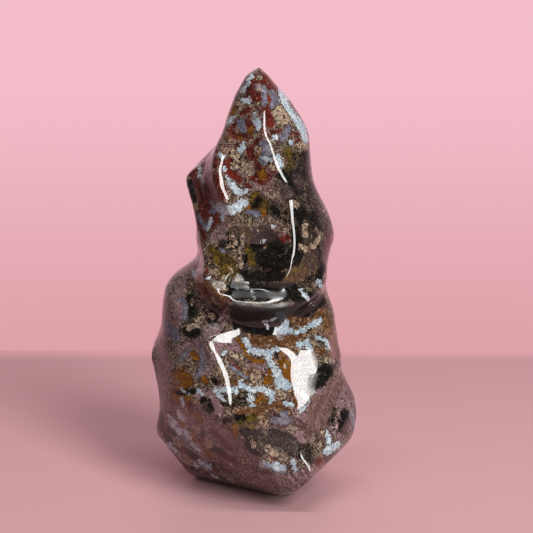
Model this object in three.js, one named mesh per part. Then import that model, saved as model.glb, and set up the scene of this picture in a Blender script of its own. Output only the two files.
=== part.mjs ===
// A flame carved from one piece of polished ocean jasper, standing on a small flat foot.
// Millimetres, +Z up. The front of the flame faces -Y, and its right side faces +X.
// The origin is the middle of the foot's plane, under the middle of the stone's box.

import * as THREE from "three";

// ---- Driving dimensions ----

const HEIGHT = 140; // from the foot to the tip
const COLUMNS = 76; // vertices round each level of the stone
const LEVELS = 63; // levels from the foot to just under the tip

// ---- The body ----
// How far the body reaches from the stone's axis at each height, before its ridges and
// flutes: [height, left, right, front, back]. Each level is an ellipse through these.

const BODY = [
  [0, 22, 21, 9, 19],
  [4, 24.5, 24, 19.5, 21],
  [6.5, 26.2, 25.4, 24.4, 22.4],
  [9.5, 27.8, 26.9, 26, 23.7],
  [14, 29.6, 29.4, 26.8, 25],
  [20, 31.2, 31.6, 27.2, 26.5],
  [28, 31, 32.2, 27.5, 27],
  [36, 30.8, 30.6, 27, 27],
  [44, 31, 28.4, 25.2, 26],
  [53, 30.6, 27.8, 22.6, 25.5],
  [61, 30.2, 26.8, 20.6, 24],
  [67.5, 29.2, 25.4, 20, 22.5],
  [73, 26.8, 25, 19, 21.5],
  [78.5, 21, 24.6, 19, 21],
  [86, 18.8, 24.4, 18.8, 20.5],
  [95, 18.1, 22.8, 18.2, 19.5],
  [103, 18.4, 19.9, 16.8, 17.5],
  [112, 15.4, 18.8, 14.5, 15],
  [120, 11, 17.8, 12, 12.5],
  [127, 7.9, 13.8, 9.8, 9.8],
  [134, 4.1, 7.8, 6.4, 6.4],
  [138, 1.2, 4.4, 3.4, 3.4],
  [HEIGHT, -2.1, 2.1, 0, 0],
];

// ---- Facets ----
// Flat faces cut into the body: [azimuth, lean, reach]. The azimuth is in degrees, 0 at the
// front and 90 at the right, and the lean is the angle by which the face looks up or down.
// The reach is the distance from the middle of the foot to the face's plane.

const FACETS = {
  hem_front_left: [-38, -33, 6.2],
  hem_left: [-92, -36, 17.8],
  hem_right: [70, -45, 10.3],
  foot_bevel: [-34, -60, 1.4],
  brow_front_left: [-40, 22, 58],
  brow_front_right: [42, 20, 60],
};
const FACET_ROUNDING = 0.08; // share of the body's reach over which a facet's edge is rounded

// ---- Ridges and flutes ----
// Each is a path over the body: [azimuth, height, rise]. The azimuth is in degrees, 0 at
// the front and 90 at the right. The rise is in millimetres, and a flute's is negative.
// A ridge's rounding is the share of its width over which its crest is rounded, and its
// flank is 1 where its sides are straight and 2 where they are hollow.

const RIDGES = {
  lip: {
    width: 5.6,
    rounding: 0.12,
    flank: 1.2,
    path: [
      [-260, 131, 0.5],
      [-200, 124, 1.6],
      [-140, 113, 2],
      [-90, 104, 3],
      [-70, 92, 1.4],
      [-50, 82.5, 1.4],
      [-38, 77, 2.2],
      [-27, 73, 3.4],
      [-15, 69, 5.2],
      [-4, 66, 6],
      [10, 65.2, 6],
      [24, 65.4, 5.4],
      [38, 66.2, 4],
      [54, 68, 2],
      [72, 71, 1],
    ],
  },
  crown: {
    width: 8,
    rounding: 0.16,
    path: [
      [3, 137.5, 0.4],
      [1.5, 133, 1.6],
      [1, 128, 2],
      [-1, 120, 2.8],
      [9, 114.6, 3.2],
      [20, 108.4, 3],
      [31, 102.6, 2.4],
      [34, 99, 0.8],
    ],
  },
  bowl_rim: {
    width: 8.5,
    rounding: 0.16,
    path: [
      [34, 99, 0.2],
      [28.5, 94.5, 0.9],
      [26.8, 89, 1.7],
      [25.8, 83, 2.6],
      [24.8, 79, 3.2],
      [23, 75.8, 3.6],
      [20, 73.8, 3.2],
      [15.6, 72.8, 2],
      [10, 72.2, 0.6],
    ],
  },
  back_sweep: {
    width: 11,
    rounding: 0.1,
    path: [
      [84, 98, 0.6],
      [96, 87, 2.6],
      [130, 78, 3],
      [180, 66, 3.4],
      [230, 54, 3],
      [268, 45.5, 2.8],
      [276, 36, 1],
      [278, 30, 0.2],
    ],
  },
  shoulder: {
    width: 6.4,
    rounding: 0.15,
    path: [
      [-8, 58.2, 0.1],
      [-13, 57.4, 0.7],
      [-18, 56.6, 1.4],
      [-24, 54.4, 2],
      [-19, 49, 1],
      [-14.5, 43, 0.7],
      [-13.6, 36.7, 0.5],
      [-13, 31, 0.2],
    ],
  },
  belly: {
    width: 11,
    rounding: 0.25,
    path: [
      [40, 57, 0.3],
      [46, 53, 1.4],
      [48, 47, 2],
      [46, 41, 1.2],
      [42, 35, 0.2],
    ],
  },
  belly_lip: {
    width: 8,
    rounding: 0.1,
    path: [
      [86, 50, 0.5],
      [76, 45.5, 1.8],
      [61, 42, 2.4],
      [51, 39.5, 2.2],
      [36, 36, 1.2],
      [25, 32.6, 0.6],
    ],
  },
  tail: {
    width: 10,
    rounding: 0.1,
    path: [
      [112, 48, 0.8],
      [100, 38, 2],
      [92, 28, 2.4],
      [84, 18, 2],
      [62, 11, 1.4],
      [38, 8, 0.8],
    ],
  },
  heel: {
    width: 7,
    rounding: 0.2,
    path: [
      [23.5, 29, 0.2],
      [26.5, 24, 0.8],
      [30, 18.5, 2.6],
      [33.5, 13.5, 4.6],
      [36, 9, 2.8],
      [38, 5, 0.2],
    ],
  },
  hem: {
    width: 9,
    rounding: 0.1,
    path: [
      [-220, 30, 1.6],
      [-160, 24, 2],
      [-98, 18, 2],
      [-70, 24, 1],
      [-50, 31, 0.8],
      [-32, 34, 1.2],
      [-22, 32, 1.4],
      [-14, 27, 1.2],
      [-6, 22, 1],
      [2, 17, 0.6],
    ],
  },
  cheek: {
    width: 6,
    rounding: 0.1,
    path: [
      [-49, 121, 0.6],
      [-45, 114.5, 1.8],
      [-38, 107, 2.2],
      [-30, 99.6, 2],
      [-23, 94, 0.8],
    ],
  },
};

const FLUTES = {
  neck: {
    width: 9,
    path: [
      [-120, 78, -1],
      [-90, 78, -2],
      [-62, 74, -2.6],
      [-40, 68, -2.6],
      [-18, 62, -2.8],
      [4, 59.6, -3.6],
      [22, 59, -3.2],
      [42, 60, -5.6],
      [66, 64, -3],
      [90, 69.5, -1],
      [120, 70, -0.4],
    ],
  },
  bowl: {
    width: 13,
    path: [
      [8, 92, -1.6],
      [8, 84, -2.8],
      [6, 78, -1.6],
    ],
  },
  face: {
    width: 9,
    path: [
      [-18, 126, -0.3],
      [-20, 116, -0.9],
      [-15, 108, -1.1],
      [-8, 99, -0.7],
    ],
  },
  left_brow: {
    width: 9,
    path: [
      [-100, 124, -1],
      [-86, 115, -1.8],
      [-78, 109, -1],
    ],
  },
  belly_hollow: {
    width: 12,
    path: [
      [3, 61, -1],
      [3.5, 55, -1.9],
      [5.5, 46, -1.6],
      [7, 38, -1.2],
      [8, 31, -0.4],
    ],
  },
  right_flank: {
    width: 9,
    path: [
      [92, 40, -1.4],
      [70, 35, -3.4],
      [52, 30, -3.8],
      [38, 23, -2.2],
      [28, 17, -0.6],
    ],
  },
};

// ---- Shape functions ----

const PATH_SAMPLES = 64;

// The body's reach at any height, through the stations of BODY.
const bodyReach = new THREE.CubicInterpolant(
  BODY.map(([height]) => height),
  BODY.flatMap(([, ...reach]) => reach),
  4,
);

// A ridge or flute as short steps along a smooth curve.
function sampled({ width, rounding = 0, flank = 2, path }) {
  const curve = new THREE.CatmullRomCurve3(
    path.map(([azimuth, height, rise]) => new THREE.Vector3(azimuth, height, rise)),
  );
  return { width, rounding, flank, points: curve.getPoints(PATH_SAMPLES) };
}

const ridges = Object.values(RIDGES).map(sampled);
const flutes = Object.values(FLUTES).map(sampled);

const facets = Object.values(FACETS).map(([azimuth, lean, reach]) => {
  const turn = THREE.MathUtils.degToRad(azimuth);
  const tilt = THREE.MathUtils.degToRad(lean);
  const normal = new THREE.Vector3(
    Math.cos(tilt) * Math.sin(turn),
    -Math.cos(tilt) * Math.cos(turn),
    Math.sin(tilt),
  );
  return { normal, reach };
});

// The smaller of two shares, rounded off where they are alike.
function smoothMinimum(a, b) {
  const near = Math.max(FACET_ROUNDING - Math.abs(a - b), 0) / FACET_ROUNDING;
  return Math.min(a, b) - (near ** 2 * FACET_ROUNDING) / 4;
}

// The nearest point of a path to a place on the body, as its distance and the path's rise
// there. The body is unrolled for this at the radius that it has at that height.
function nearest(points, azimuth, height, radius) {
  const perDegree = THREE.MathUtils.degToRad(radius);
  let best = { distance: Infinity, rise: 0 };
  for (const turn of [-360, 0, 360]) {
    for (let i = 1; i < points.length; i += 1) {
      const [from, to] = [points[i - 1], points[i]];
      const across = (to.x - from.x) * perDegree;
      const up = to.y - from.y;
      const toAcross = (azimuth + turn - from.x) * perDegree;
      const toUp = height - from.y;
      const share = THREE.MathUtils.clamp(
        (toAcross * across + toUp * up) / (across * across + up * up),
        0,
        1,
      );
      const distance = Math.hypot(toAcross - share * across, toUp - share * up);
      if (distance < best.distance) {
        best = { distance, rise: THREE.MathUtils.lerp(from.z, to.z, share) };
      }
    }
  }
  return best;
}

// A ridge's profile, 1 at the crest and 0 at its width.
function crest(distance, rounding, flank) {
  const rounded = Math.hypot(distance, rounding) - rounding;
  return (1 - Math.min(rounded, 1)) ** flank;
}

// A flute's profile: a smooth hollow, 1 along its path and 0 at its width.
function hollow(distance) {
  return (1 - Math.min(distance, 1) ** 2) ** 2;
}

// How far the ridges and flutes move the surface outwards at a place on the body.
function relief(azimuth, height, radius) {
  let sum = 0;
  for (const [strokes, profile] of [[ridges, crest], [flutes, hollow]]) {
    for (const { width, rounding, flank, points } of strokes) {
      const { distance, rise } = nearest(points, azimuth, height, radius);
      sum += rise * profile(distance / width, rounding, flank);
    }
  }
  return sum;
}

// How much of an arm from the middle of a level is left once the facets have cut the body.
function uncut(middle, arm) {
  let left = 1;
  for (const { normal, reach } of facets) {
    const towards = normal.dot(arm);
    if (towards > 0) {
      left = smoothMinimum(left, (reach - normal.dot(middle)) / towards);
    }
  }
  return left;
}

// The point at an azimuth and a height: on the surface where share is 1, and in the middle of
// its level where share is 0.
function surfacePoint(azimuth, height, share) {
  const [left, right, front, back] = bodyReach.evaluate(height);
  const halfWidth = (left + right) / 2;
  const halfDepth = (front + back) / 2;
  const angle = THREE.MathUtils.degToRad(azimuth);
  const out = relief(azimuth, height, (halfWidth + halfDepth) / 2);
  const middle = new THREE.Vector3((right - left) / 2, (back - front) / 2, height);
  const arm = new THREE.Vector3(
    (halfWidth + out) * Math.sin(angle),
    -(halfDepth + out) * Math.cos(angle),
    0,
  );
  return middle.addScaledVector(arm, share * uncut(middle, arm));
}

// ---- The stone ----

// A turned blank with level rows of vertices, for the surface to be laid on.
function blank() {
  const profile = [new THREE.Vector2(0, 0)];
  for (let level = 0; level < LEVELS; level += 1) {
    profile.push(new THREE.Vector2(1, (HEIGHT * level) / LEVELS));
  }
  profile.push(new THREE.Vector2(0, HEIGHT));
  return new THREE.LatheGeometry(profile, COLUMNS).rotateX(Math.PI / 2);
}

function flameGeometry() {
  const geometry = blank();
  const position = geometry.getAttribute("position");
  for (let i = 0; i < position.count; i += 1) {
    const [x, y, z] = [position.getX(i), position.getY(i), position.getZ(i)];
    const azimuth = THREE.MathUtils.radToDeg(Math.atan2(x, -y));
    const point = surfacePoint(azimuth, z, Math.hypot(x, y));
    position.setXYZ(i, point.x, point.y, point.z);
  }
  geometry.deleteAttribute("normal");
  geometry.deleteAttribute("uv");
  geometry.computeBoundingBox();
  const middle = geometry.boundingBox.getCenter(new THREE.Vector3());
  return geometry.translate(-middle.x, -middle.y, 0);
}

const flame = new THREE.Mesh(
  flameGeometry(),
  new THREE.MeshStandardMaterial({ color: 0x6b514b, roughness: 0.08, metalness: 0 }),
);
flame.name = "flame";

const part = new THREE.Group();
part.add(flame);

export default part;
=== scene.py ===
"""The looks of a flame carved from polished ocean jasper: its skin, its stone and a plain studio.

Blender's lengths are metres, and names that end in _MM are in millimetres. A place on the stone is
(azimuth, height): the azimuth is in degrees round it, 0 at the front (-Y) and 90 at its right (+X),
and the height is in millimetres above its foot.
"""

import math

import bpy
import numpy as np
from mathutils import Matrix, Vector


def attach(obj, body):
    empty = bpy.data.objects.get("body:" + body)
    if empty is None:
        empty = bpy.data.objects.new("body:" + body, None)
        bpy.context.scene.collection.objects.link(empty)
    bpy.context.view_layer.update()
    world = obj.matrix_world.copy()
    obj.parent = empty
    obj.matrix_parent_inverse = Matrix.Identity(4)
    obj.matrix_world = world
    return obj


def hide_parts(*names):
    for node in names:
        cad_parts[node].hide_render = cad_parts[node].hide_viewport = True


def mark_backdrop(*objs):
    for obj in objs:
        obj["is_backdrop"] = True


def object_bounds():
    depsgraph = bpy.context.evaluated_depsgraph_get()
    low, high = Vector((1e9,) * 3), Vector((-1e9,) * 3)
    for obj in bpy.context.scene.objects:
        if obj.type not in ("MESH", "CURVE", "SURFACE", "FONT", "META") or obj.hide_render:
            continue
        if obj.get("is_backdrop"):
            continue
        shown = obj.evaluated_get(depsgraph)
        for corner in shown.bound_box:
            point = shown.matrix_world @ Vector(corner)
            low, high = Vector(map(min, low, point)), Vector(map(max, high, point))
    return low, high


MM = 0.001
TINY = 1e-12  # keeps a division by a length off zero
CAMERA_PLACE = (0.0041, -0.3277, 0.1156)

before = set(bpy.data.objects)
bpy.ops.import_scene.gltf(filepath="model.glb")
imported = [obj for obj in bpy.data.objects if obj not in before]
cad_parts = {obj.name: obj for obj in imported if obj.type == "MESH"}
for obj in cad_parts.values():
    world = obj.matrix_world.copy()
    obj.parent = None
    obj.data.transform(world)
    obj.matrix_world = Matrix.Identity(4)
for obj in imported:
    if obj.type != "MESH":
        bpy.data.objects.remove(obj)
cad_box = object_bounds()

# ---- The skin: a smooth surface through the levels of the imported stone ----

FRONT_STEPS = 6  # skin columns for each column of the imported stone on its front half
BACK_STEPS = 2  # and on its back half
LEVEL_STEPS = 5  # skin levels for each level of it
SAME_DIGITS = 6  # decimals of a metre in which the copies of one of its points agree


def ring_at(points, height, foot):
    """A level's points in their order round the stone, without the foot's middle point."""
    ring = points[points[:, 2] == height]
    middle = (ring.min(0) + ring.max(0)) / 2
    if height == foot:
        to_middle = np.hypot(*(ring - ring.mean(0))[:, :2].T)
        ring = np.delete(ring, to_middle.argmin(), axis=0)
    angle = np.arctan2(ring[:, 0] - middle[0], middle[1] - ring[:, 1])
    return ring[angle.argsort()]


def in_step(ring, below):
    """The ring, turned by a point either way if that brings it closer to the ring below."""
    apart = [np.abs(np.roll(ring, turn, axis=0) - below).sum() for turn in (-1, 0, 1)]
    return np.roll(ring, int(np.argmin(apart)) - 1, axis=0)


def levels_of(node):
    """The node's levels, from the foot up: an array of level, column, point, and the tip.

    Column 0 is at the front, and the columns go round by the right.
    """
    points = np.array([vertex.co for vertex in node.data.vertices], float)
    points = np.unique(points.round(SAME_DIGITS), axis=0)
    heights = np.unique(points[:, 2])
    tip = points[points[:, 2] == heights[-1]][0]
    levels = []
    for height in heights[:-1]:
        ring = ring_at(points, height, heights[0])
        levels.append(in_step(ring, levels[-1]) if levels else ring)
    levels = np.array(levels)
    opposite = np.roll(levels, -(levels.shape[1] // 2), axis=1)
    askew = np.abs(levels[:, :, 0] - opposite[:, :, 0]).sum(0)
    behind = np.median(levels[:, :, 1] - opposite[:, :, 1], axis=0) > 0
    front = int(np.argmin(askew + behind))
    return np.roll(levels, -front, axis=1), tip


def bend(apart):
    """The cubic B-spline's weight for a point that is this many points away."""
    apart = np.abs(apart)
    near = 2 / 3 - apart**2 + apart**3 / 2
    far = (2 - np.clip(apart, 1, 2)) ** 3 / 6
    return np.where(apart < 1, near, far)


def spline(count, places, closed):
    """The matrix that turns count points into points at these places of a smooth curve through them."""

    def weights(places):
        apart = places[:, None] - np.arange(count)
        if closed:
            return bend((apart + count / 2) % count - count / 2)
        table = bend(apart)
        for beyond, end, inner in ((-1, 0, 1), (count, count - 1, count - 2)):
            extra = bend(places - beyond)
            table[:, end] += 2 * extra
            table[:, inner] -= extra
        return table

    return weights(places) @ np.linalg.inv(weights(np.arange(count, dtype=float)))


packed, tip = levels_of(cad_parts["flame"])
packed = np.concatenate([packed, np.broadcast_to(tip, (1,) + packed.shape[1:])])
spans = packed.shape[1]
quarter = spans // 4
in_front = [span < quarter or span >= spans - quarter for span in range(spans)]
steps = [FRONT_STEPS if front else BACK_STEPS for front in in_front]
column_places = np.concatenate([span + np.arange(count) / count for span, count in enumerate(steps)])
level_places = np.arange((packed.shape[0] - 1) * LEVEL_STEPS + 1) / LEVEL_STEPS
up = spline(packed.shape[0], level_places, closed=False)
across = spline(spans, column_places, closed=True)
skin = np.einsum("al,lcx,bc->abx", up, packed, across)
LEVELS, COLUMNS = skin.shape[:2]


def place(azimuth, height):
    """The point of the skin at a place."""
    column = np.interp((azimuth % 360) / 360 * spans, column_places, np.arange(COLUMNS))
    level = np.interp(height * MM, skin[:, 0, 2], np.arange(LEVELS))
    below, before = min(int(level), LEVELS - 2), int(column)
    after = (before + 1) % COLUMNS
    upwards, onwards = level - below, column - before
    low = skin[below, before] * (1 - onwards) + skin[below, after] * onwards
    high = skin[below + 1, before] * (1 - onwards) + skin[below + 1, after] * onwards
    return low * (1 - upwards) + high * upwards


# ---- Crests: the keen edges along the ridges ----

CREST_ROUNDING = 0.12  # share of a crest's width over which its top is rounded
CURVE_STEPS = 16  # places worked out on a crest's smooth curve from each of its points to the next
CURVE_POINTS = 96  # points of the skin that then stand for the whole crest

# How far off each crest dies out, then (azimuth, height, rise) along it. Both that distance and
# the rise are in millimetres, and below zero the rise is a hollow.
CRESTS = {
    "crown": (
        3.2, (3, 130, 0), (1, 125, 0.3), (-1, 120, 0.3), (9, 114.6, 0), (20, 108.4, -0.2),
        (31, 102.6, 0),
    ),
    "cheek": (
        1.6, (-39, 114.4, 0), (-39.4, 112.9, 0.3), (-37.5, 110.7, 0.34), (-36.7, 108.4, 0.34),
        (-34.4, 105.8, 0.32), (-32.2, 103.6, 0.32), (-29.7, 100.4, 0.34), (-28.1, 97.8, 0.34),
        (-26, 94.9, 0.1), (-24, 93, 0),
    ),
    "brow": (4, (-69, 112, 0), (-85, 108.5, 0.4), (-92, 105, 1), (-86, 101.5, 0.2), (-80, 99, 0)),
    "lip": (
        2.4, (-27, 73, 0.3), (-15, 69, 0.4), (-4, 66, 0.5), (10, 65.2, 0.5), (24, 65.4, 0.3),
        (34, 66, 0),
    ),
    "lip_rise": (2.2, (-62, 88, 0), (-50, 82.5, 0.5), (-38, 77, 0.6), (-27, 73, 0.3)),
    "ledge_foot": (
        1.6, (-5.5, 71.8, 0.3), (3.2, 72.2, 0.6), (12.6, 72.2, 0.6), (16.6, 72.4, 0.5),
        (19.7, 72.9, 0.35), (21.6, 74, 0.28), (23.2, 76, 0.24), (24, 78.7, 0.2), (25.6, 81, 0),
    ),
    "bowl_corner": (6.5, (28, 74, 0.3), (23, 72.6, 1), (17, 71.4, 0.5)),
    "vug": (1.1, (-14, 74.6, -1.1), (-13, 73, -1.1)),
    "shoulder": (
        2, (-6, 58.4, 0), (-12, 57.4, 0.3), (-18, 56.6, 0.5), (-24, 54.4, 0.55), (-19, 49, 0.6),
        (-14.5, 43, 0.47), (-13.6, 36.7, 0.4), (-13, 31, 0),
    ),
    "chest": (14, (8, 59, 1.6), (9, 56, 1.6)),
    "hip": (9, (54, 56, 0), (54, 51, 0.9), (52, 46, 0.9), (48, 42, 0)),
    "elbow": (4, (-84, 50, 0), (-90, 46.3, 0.5), (-88, 45, 0.4), (-80, 42, 0)),
    "under_hip": (7, (46, 42, 0), (46, 39, -0.4), (46, 35, -0.4), (44, 32, 0)),
}


def curve_through(path):
    """A crest's path as close points on the skin, with the rise at each."""
    knots = np.array(path, float)
    at = np.linspace(0, len(knots) - 1, CURVE_POINTS)
    fine = np.arange((len(knots) - 1) * CURVE_STEPS + 1) / CURVE_STEPS
    smooth = spline(len(knots), fine, closed=False) @ knots
    azimuth, height, rise = (np.interp(at, fine, values) for values in smooth.T)
    return np.array([place(*spot) for spot in zip(azimuth, height)]), rise


def off_piece(points, start, end):
    """How far along a straight piece each point lies, as a share of it, and how far off it."""
    along = end - start
    share = np.clip((points - start) @ along / max(along @ along, TINY), 0, 1)
    return share, np.linalg.norm(points - start - share[:, None] * along, axis=1)


def nearest(points, rise):
    """For each point of the skin, its distance to a crest, and the crest's rise there."""
    flat = skin.reshape(-1, 3)
    best = np.full(len(flat), np.inf)
    value = np.zeros(len(flat))
    for start, end, low, high in zip(points[:-1], points[1:], rise[:-1], rise[1:]):
        share, apart = off_piece(flat, start, end)
        closer = apart < best
        best[closer] = apart[closer]
        value[closer] = (low + share * (high - low))[closer]
    return best.reshape(LEVELS, COLUMNS), value.reshape(LEVELS, COLUMNS)


def relief():
    """How far the crests raise each point of the skin."""
    raised = np.zeros((LEVELS, COLUMNS))
    for width, *path in CRESTS.values():
        distance, rise = nearest(*curve_through(path))
        rounded = np.hypot(distance / (width * MM), CREST_ROUNDING) - CREST_ROUNDING
        raised += rise * MM * (1 - np.minimum(rounded, 1)) ** 2
    return raised


def outwards():
    """The skin's outward directions, level with the floor."""
    round_way = np.roll(skin, -1, axis=1) - np.roll(skin, 1, axis=1)
    out = np.stack([round_way[..., 1], -round_way[..., 0], np.zeros((LEVELS, COLUMNS))], -1)
    return out / np.maximum(np.linalg.norm(out, axis=-1, keepdims=True), TINY)


skin += relief()[..., None] * outwards()
skin = np.clip(skin, np.array(cad_box[0]), np.array(cad_box[1]))

# ---- The flame's mesh ----

FOOT_SHARES = (0.3, 0.6, 0.85)  # the rings under the foot, as shares of its outline
FOOT_EDGE_MM = 0.5  # radius of the worn edge round the foot
FOOT_EDGE = ((1.4, 0), (0.4, 0.3), (0, 1))  # the rings along it: (inwards, up), in its radii
FOOT_RINGS = len(FOOT_SHARES) + len(FOOT_EDGE)


def flame_mesh():
    """The skin closed by its tip and by a flat foot with a worn edge."""
    foot = skin[0]
    middle = foot.mean(0)
    reach = np.linalg.norm(foot - middle, axis=1).mean()
    worn = FOOT_EDGE_MM * MM
    rings = [middle + (foot - middle) * share for share in FOOT_SHARES]
    for inwards, upwards in FOOT_EDGE:
        ring = middle + (foot - middle) * (1 - inwards * worn / reach)
        rings.append(ring + (0, 0, upwards * worn))
    rings += list(skin[1:-1])
    verts = np.concatenate([[middle]] + rings + [[skin[-1, 0]]])
    faces = []
    for column in range(COLUMNS):
        after = (column + 1) % COLUMNS
        faces.append((0, 1 + after, 1 + column))
        for ring in range(len(rings) - 1):
            low, high = 1 + ring * COLUMNS, 1 + (ring + 1) * COLUMNS
            faces.append((low + column, low + after, high + after, high + column))
        last = 1 + (len(rings) - 1) * COLUMNS
        faces.append((last + column, last + after, len(verts) - 1))
    mesh = bpy.data.meshes.new("flame_skin")
    mesh.from_pydata(verts.tolist(), [], faces)
    mesh.validate()
    mesh.shade_smooth()
    return mesh


flame = bpy.data.objects.new("flame_skin", flame_mesh())
bpy.context.scene.collection.objects.link(flame)

# ---- Stone: where each of its minerals shows, and where light and shade are painted in ----
# The front's zones are strokes drawn over the photo: (half width, (right, down), ...), in
# the photo's own points, from its left and top edges. The last two kinds, dull and worn, are no
# minerals: the stone's polish is duller there.
# Some strokes also paint light or shade: the lip's shade on the neck in the dark ground and dark, and
# the pink floor's glow low on the left in mauve, the lilac ground and the hem.
ZONES = {}
ZONES["red_ground"] = [
    (9, (199, 184), (206, 200), (204, 214)), (10, (206, 168), (222, 150), (234, 160)),
    (12, (236, 128), (246, 150), (246, 172)), (10, (252, 84), (252, 104), (262, 126)),
    (7, (262, 76), (276, 90)), (8, (262, 140), (258, 172)), (7, (218, 180), (214, 206)),
    (4, (197, 222), (204, 240)), (4, (284, 94), (300, 110), (309, 136)), (5, (292, 142), (306, 148)),
    (4, (322, 224), (330, 250)),
]
ZONES["dark_ground"] = [
    (11, (300, 160), (302, 180), (312, 196)), (9, (282, 176), (292, 194)),
    (14, (300, 212), (318, 232), (306, 252)), (16, (262, 240), (278, 252), (264, 268)),
    (8, (256, 202), (280, 212)), (12, (250, 276), (288, 276)), (8, (312, 268), (300, 284)),
    (11, (238, 292), (262, 294), (290, 292)), (12, (300, 290), (314, 306)),
    # The stroke from (238, 314) along the neck under the lip is partly the stone's dark and partly
    # painted shade from the lip above.
    (13, (238, 314), (262, 320), (284, 316)), (6, (191, 298), (194, 316), (192, 332)),
    (5, (214, 302), (213, 322)), (9, (330, 362), (318, 384)), (6, (345, 412), (342, 432)),
    (8, (236, 236), (248, 246)), (9, (258, 438), (286, 442), (304, 450)),
]
ZONES["brown_ground"] = [
    (9, (200, 268), (208, 288), (216, 304)), (9, (216, 256), (228, 266), (230, 284)),
    (10, (300, 316), (324, 320)), (12, (258, 340), (284, 344), (304, 336)),
    (11, (322, 332), (328, 350)), (11, (284, 366), (272, 384), (252, 374)),
    (13, (240, 400), (262, 402), (292, 404)), (10, (240, 420), (262, 418)), (9, (180, 374), (184, 392)),
    (6, (180, 408), (196, 420)), (5, (232, 106), (228, 122)), (7, (290, 152), (290, 170)),
    (8, (306, 266), (292, 276)), (6, (276, 258), (266, 246)),
]
ZONES["mauve"] = [
    (9, (170, 298), (176, 311), (170, 323)), (6, (181, 286), (178, 300)),
    (6, (217, 326), (206, 333), (196, 347), (184, 350)), (6, (230, 336), (232, 350), (236, 344)),
    (5, (219, 345), (214, 362), (206, 372)), (5, (159, 352), (169, 362), (163, 382), (160, 398)),
    (4.5, (249, 363), (262, 366)), (6, (200, 394), (213, 398), (218, 412)),
    # This stroke along the low left ridge is partly a painted reflection: the ridge's pale pink band.
    (3.6, (196, 408), (206, 418), (218, 429), (230, 438), (243, 450), (254, 462)),
    (9, (324, 388), (341, 368), (347, 382), (337, 402), (320, 416)), (6, (347, 392), (349, 410)),
    (4, (299, 434), (302, 440)), (5, (170, 400), (162, 412)), (4, (249, 187), (260, 186), (269, 181)),
    (5, (222, 228), (216, 236), (226, 240)), (4, (253, 432), (249, 426)),
    (3.5, (221, 131), (213, 146), (203, 158)), (4, (222, 318), (228, 312)), (3, (193, 240), (196, 262)),
    (4, (296, 412), (306, 418)), (3, (330, 232), (333, 262)), (4, (186, 356), (177, 348)),
    # The patches low on the left, from (164, 432) on, are partly painted light: paler for the floor's
    # pink glow there.
    (2.2, (268, 246), (276, 241), (286, 236)), (4.4, (164, 432), (170, 440)),
    (4.1, (196, 450), (204, 456)), (3.7, (180, 436), (186, 446)), (3.4, (176, 470), (186, 468)),
]
ZONES["earth"] = [
    (7, (225, 466), (256, 477), (296, 480), (318, 468)), (4, (196, 472), (225, 481), (262, 490)),
    (3, (168, 436), (160, 428)), (4, (330, 458), (318, 470)), (6, (228, 300), (222, 306), (231, 318)),
    (5, (200, 262), (200, 272), (210, 278)), (7, (296, 306), (312, 310), (322, 306)),
    (5, (282, 416), (300, 424), (312, 430)), (5, (272, 414), (282, 425)),
]
ZONES["rust"] = [
    (7.5, (202, 284), (210, 292), (219, 300)), (4, (196, 252), (201, 266)),
    (6, (292, 316), (303, 322), (296, 340)),
    (6, (321, 314), (332, 329), (329, 338), (336, 350), (334, 360)),
    (6, (256, 341), (270, 338), (281, 341)), (5, (276, 334), (290, 343), (284, 353)),
    (4, (214, 294), (223, 304)), (6, (262, 397), (265, 404), (254, 412), (240, 418)),
    (4, (312, 352), (322, 352)), (3.5, (228, 381), (237, 383)), (4.5, (250, 374), (243, 381)),
    (4, (272, 403), (284, 409), (296, 402)), (4, (306, 402), (298, 410)),
    (3, (229, 137), (240, 134), (250, 132)), (2.5, (221, 161), (232, 159)), (3, (262, 150), (256, 155)),
    (2.6, (257, 240), (263, 243)), (2.4, (275, 254), (278, 261)), (2.2, (262, 262), (268, 266)),
]
ZONES["olive"] = [
    (6.5, (220, 258), (229, 264), (227, 270), (232, 273)), (3, (211, 249), (214, 252)),
    (4, (246, 231), (253, 238), (249, 250), (252, 262)), (6, (308, 262), (303, 270), (290, 277)),
    (4, (314, 262), (318, 272)), (5.5, (242, 422), (253, 420), (246, 430)),
    (6, (256, 198), (263, 206), (252, 206)), (4.5, (288, 152), (292, 160), (290, 170)),
    (4, (224, 277), (230, 284), (232, 290)),
]
ZONES["ochre"] = [
    (3.2, (233, 104), (232, 110), (230, 116)), (4.6, (262, 174), (263, 177)),
    (3, (247, 206), (248, 208)), (2.4, (264, 212), (264, 214)), (1.6, (242, 193), (242, 196)),
    (5.6, (178, 375), (187, 380), (182, 388), (176, 398)), (3, (183, 404), (188, 396)),
    (2, (238, 340), (247, 353), (253, 361), (262, 361)), (5.2, (284, 363), (289, 370), (287, 378)),
    (4.2, (272, 371), (274, 378), (266, 381)), (3.4, (192, 434), (193, 439)),
    (3.4, (199, 420), (197, 414)), (3, (177, 420), (184, 424)), (2.6, (207, 450), (210, 456)),
    (2.2, (211, 464), (212, 468)), (3, (235, 436), (236, 427)), (3, (274, 258), (276, 265)),
    (1.4, (266, 243), (267, 246)), (3, (196, 358), (193, 354)), (2.4, (203, 378), (207, 382)),
    (2.4, (251, 128), (250, 133)), (2, (239, 138), (241, 139)), (2.4, (330, 340), (326, 345)),
    (2.6, (256, 402), (262, 398)), (1.2, (253, 104), (254, 105)),
]
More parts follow.
